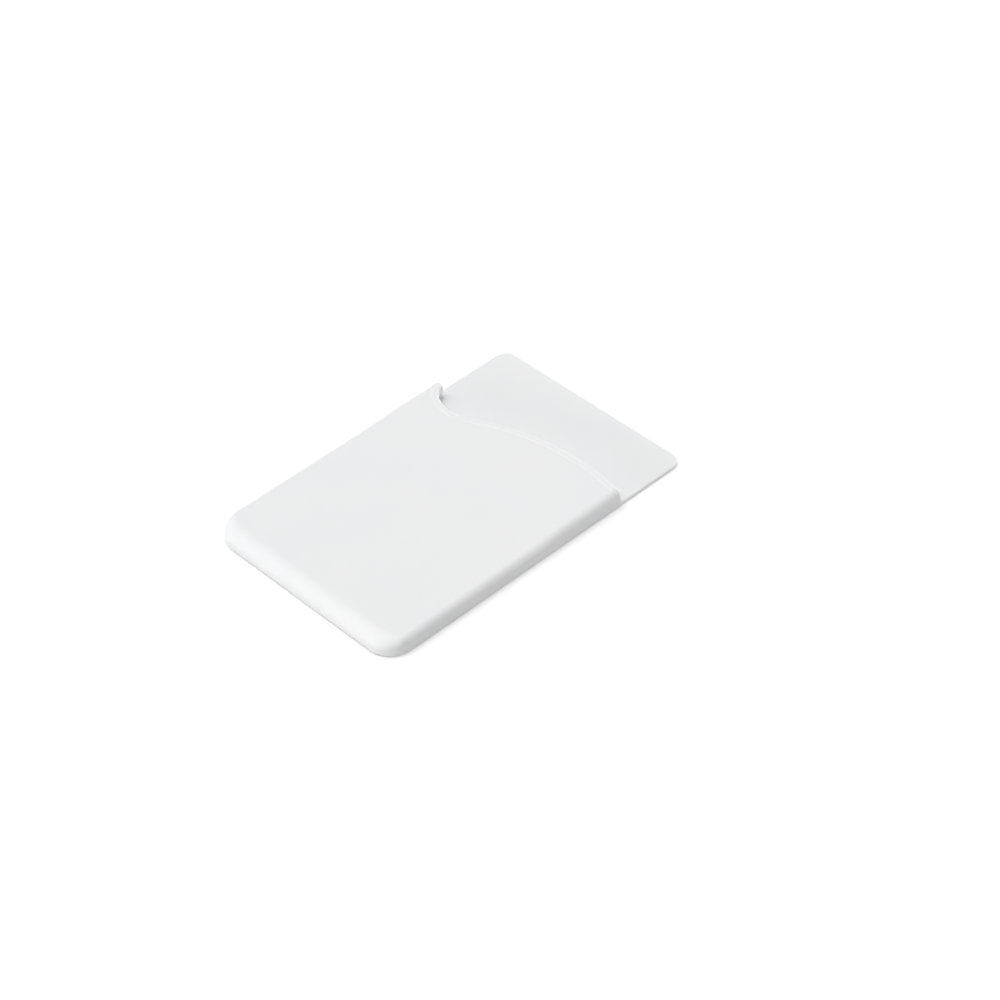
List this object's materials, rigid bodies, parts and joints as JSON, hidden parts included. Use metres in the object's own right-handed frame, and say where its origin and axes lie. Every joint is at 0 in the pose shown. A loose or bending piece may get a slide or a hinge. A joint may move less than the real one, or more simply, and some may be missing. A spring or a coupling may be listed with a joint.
{
  "type": "phone card holder",
  "caption": "Stick-on card holder for a phone: a thin one-piece silicone sleeve with a card pocket, a curved mouth with a thumb notch, and a flat adhesive pad.",
  "frame": {"origin": "middle of the adhesive pad's underside, the face that sticks to the phone", "axes": "+Z out of the phone's back through the front panel, +Y along the sleeve toward the pocket's mouth, +X across the sleeve to the side away from the thumb notch"},
  "size_m": [0.0558, 0.0862, 0.0048],
  "materials": {
    "silicone": "soft matte white moulded silicone",
    "adhesive": "thin double-sided adhesive film, off-white and slightly tacky"
  },
  "bodies": {
    "root": {"silicone_sleeve": "silicone", "adhesive_pad": "adhesive"}
  },
  "joints": []
}
